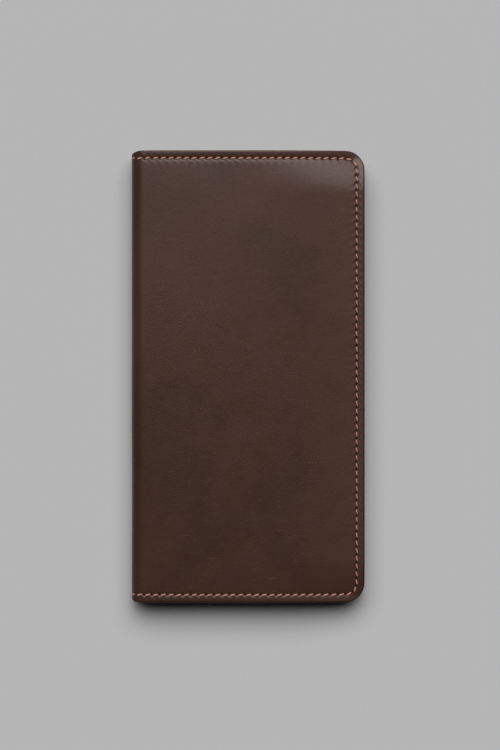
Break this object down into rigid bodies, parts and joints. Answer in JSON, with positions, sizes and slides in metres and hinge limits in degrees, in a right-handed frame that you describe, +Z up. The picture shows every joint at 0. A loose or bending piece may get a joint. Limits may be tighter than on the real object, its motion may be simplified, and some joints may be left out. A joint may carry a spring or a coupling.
{
  "type": "long wallet",
  "caption": "Long book-style leather wallet with a folding spine, stitched edges, card pockets, bill pockets and a zipped coin pocket.",
  "frame": {"origin": "under the middle of the closed wallet, on the surface that its back cover lies on", "axes": "+X from the spine to the opening edge, +Y from the foot to the head, +Z up out of the front cover"},
  "size_m": [0.098, 0.19, 0.016],
  "materials": {
    "cover_leather": "waxed dark brown leather, satin, lightly scuffed",
    "inner_leather": "thinner dark brown leather, satin",
    "lining_cloth": "fine woven dark brown cloth",
    "zip_tape": "herringbone woven tape",
    "seam_thread": "waxed twisted thread, reddish tan",
    "zip_metal": "antique brass, slightly worn"
  },
  "bodies": {
    "back_half": {"back_cover": "cover_leather", "back_lining": "lining_cloth", "back_seam_thread": "seam_thread", "coin_page": "inner_leather", "coin_pocket_strip": "inner_leather", "coin_pocket_panel": "inner_leather", "slip_pocket_panel": "inner_leather", "zip_seam_thread_spine_side": "seam_thread", "zip_seam_thread_edge_side": "seam_thread", "zip_tape_spine_side": "zip_tape", "zip_tape_edge_side": "zip_tape", "zip_teeth_spine_side": "zip_metal", "zip_teeth_edge_side": "zip_metal", "zip_top_stop_spine_side": "zip_metal", "zip_top_stop_edge_side": "zip_metal", "zip_bottom_stop": "zip_metal"},
    "spine": {"spine_cover": "cover_leather", "spine_lining": "lining_cloth", "spine_seam_thread_head": "seam_thread", "spine_seam_thread_foot": "seam_thread"},
    "front_half": {"front_cover": "cover_leather", "front_lining": "lining_cloth", "front_seam_thread": "seam_thread", "card_page": "inner_leather", "card_pocket_1": "inner_leather", "card_pocket_2": "inner_leather", "card_pocket_3": "inner_leather", "card_pocket_4": "inner_leather", "card_pocket_5": "inner_leather", "card_pocket_6": "inner_leather"},
    "zip_slider": {"zip_slider": "zip_metal"},
    "zip_pull": {"zip_pull": "zip_metal"}
  },
  "joints": [
    {"name": "spine_fold_back", "type": "hinge", "parent": "back_half", "child": "spine", "pos_m": [-0.0473, 0, 0.0017], "axis": [0, -1, 0], "range_deg": [0, 90]},
    {"name": "spine_fold_front", "type": "hinge", "parent": "spine", "child": "front_half", "pos_m": [-0.0473, 0, 0.01426], "axis": [0, -1, 0], "range_deg": [0, 90]},
    {"name": "zip_slide", "type": "slide", "parent": "back_half", "child": "zip_slider", "axis": [0, -1, 0], "range_m": [0, 0.155], "deforming": ["zip_teeth_spine_side", "zip_teeth_edge_side"]},
    {"name": "zip_pull_swing", "type": "hinge", "parent": "zip_slider", "child": "zip_pull", "pos_m": [-0.03, 0.07875, 0.0072], "axis": [0, 0, 1], "range_deg": [-20, 20]}
  ],
  "couplings": [
    {"joint": "spine_fold_front", "follows": "spine_fold_back", "ratio": 1}
  ]
}
